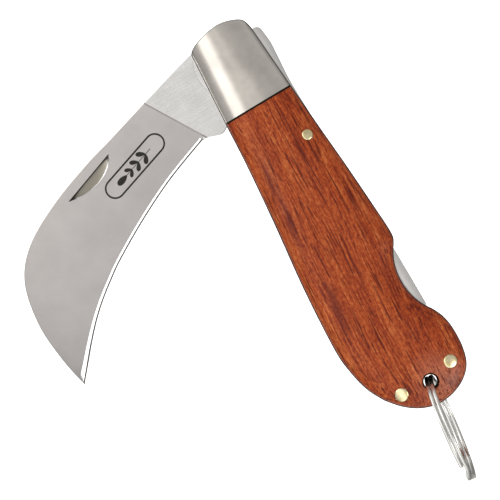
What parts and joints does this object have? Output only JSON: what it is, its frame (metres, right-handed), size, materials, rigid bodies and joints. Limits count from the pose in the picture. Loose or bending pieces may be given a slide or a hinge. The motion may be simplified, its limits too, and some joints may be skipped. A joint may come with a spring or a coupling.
{
  "type": "folding grafting knife",
  "caption": "Folding hawkbill knife for grafting and pruning, with a back lock, metal bolsters, wood scales and a split ring at the butt.",
  "frame": {"origin": "where the axis of the blade's pivot meets the flat outer face of the rear bolster", "axes": "+Z along the handle, from the butt up to the bolster; +X towards the back of the handle, where the lock bar is; +Y through the knife, from its front side to its rear side"},
  "size_m": [0.083, 0.0266, 0.1224],
  "materials": {
    "blade_steel": "satin ground, with a brighter sharpened bevel",
    "spring_steel": "satin",
    "nickel_silver": "semi-bright satin, slightly warm",
    "ring_nickel": "bright nickel plate",
    "brass": "polished, slightly worn",
    "rosewood": "oiled satin, darker grain along the handle"
  },
  "bodies": {
    "handle": {"front_bolster": "nickel_silver", "rear_bolster": "nickel_silver", "front_scale": "rosewood", "rear_scale": "rosewood", "front_liner": "spring_steel", "rear_liner": "spring_steel", "front_belly_rivet": "spring_steel", "front_back_rivet": "spring_steel", "rear_belly_rivet": "spring_steel", "rear_back_rivet": "spring_steel", "pivot_pin": "nickel_silver", "lock_bar_pin": "brass", "belly_rear_pin": "brass", "back_rear_pin": "brass", "butt_spacer": "spring_steel", "lock_spring": "spring_steel"},
    "blade": {"blade": "blade_steel"},
    "lock_bar": {"lock_bar": "spring_steel"},
    "ring": {"split_ring": "ring_nickel"}
  },
  "joints": [
    {"name": "blade_pivot", "type": "hinge", "parent": "handle", "child": "blade", "pos_m": [0, -0.006, 0], "axis": [0, 1, 0], "range_deg": [-59, 103]},
    {"name": "lock_bar_rock", "type": "hinge", "parent": "handle", "child": "lock_bar", "pos_m": [0.006, -0.006, -0.0242], "axis": [0, 1, 0], "range_deg": [0, 1.4], "stiffness_Nm_per_rad": 2.3, "springref_deg": -9.74, "deforming": ["lock_spring"]},
    {"name": "ring_swing", "type": "hinge", "parent": "handle", "child": "ring", "pos_m": [0.001, -0.006, -0.0886], "axis": [0, 1, 0], "range_deg": [-160, 120.8]}
  ]
}
